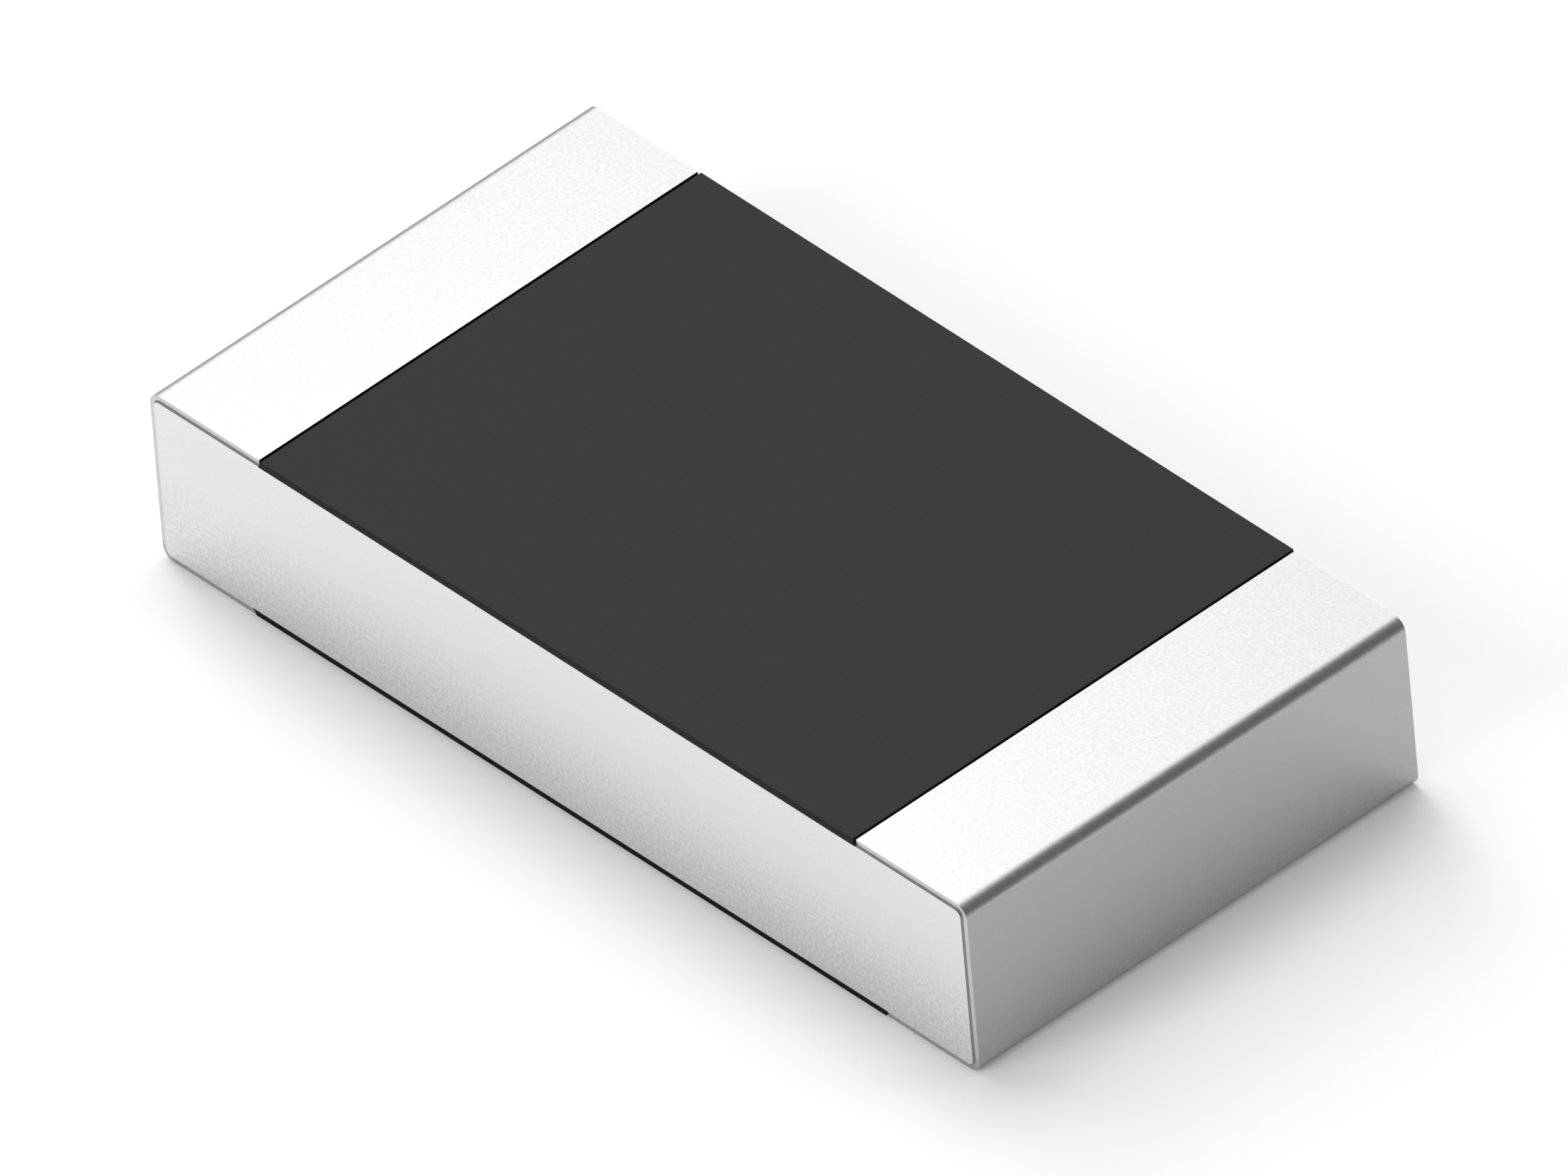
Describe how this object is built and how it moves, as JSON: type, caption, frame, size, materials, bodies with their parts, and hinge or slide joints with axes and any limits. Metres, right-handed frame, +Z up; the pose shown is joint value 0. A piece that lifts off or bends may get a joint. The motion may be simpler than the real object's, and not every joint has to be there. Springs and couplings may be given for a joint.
{
  "type": "smd chip resistor",
  "caption": "Flat rectangular ceramic chip resistor with wrapped tin-plated end terminals, a black overcoat between them and a trimmed resistive film inside, for soldering onto circuit boards.",
  "frame": {"origin": "middle of the footprint, on the solder plane that the terminals stand on", "axes": "+X from the left terminal to the right one, +Y across the chip to its back, +Z up, towards the overcoat"},
  "size_m": [0.0032, 0.0016, 0.0006],
  "materials": {
    "alumina": "matt, fine fired grain",
    "silver_film": "dull fired silver",
    "nickel": "satin plated",
    "tin": "bright satin plated",
    "resistive_film": "fired, slightly glossy",
    "glass_film": "fired glass",
    "overcoat": "matt printed epoxy",
    "underside_coat": "matt printed epoxy"
  },
  "bodies": {
    "root": {"ceramic_substrate": "alumina", "top_electrode_left": "silver_film", "top_electrode_right": "silver_film", "end_electrode_left": "silver_film", "end_electrode_right": "silver_film", "bottom_electrode_left": "silver_film", "bottom_electrode_right": "silver_film", "nickel_barrier_left": "nickel", "nickel_barrier_right": "nickel", "tin_plating_left": "tin", "tin_plating_right": "tin", "resistor_film": "resistive_film", "glass_coat": "glass_film", "top_overcoat": "overcoat", "bottom_coat": "underside_coat"}
  },
  "joints": []
}
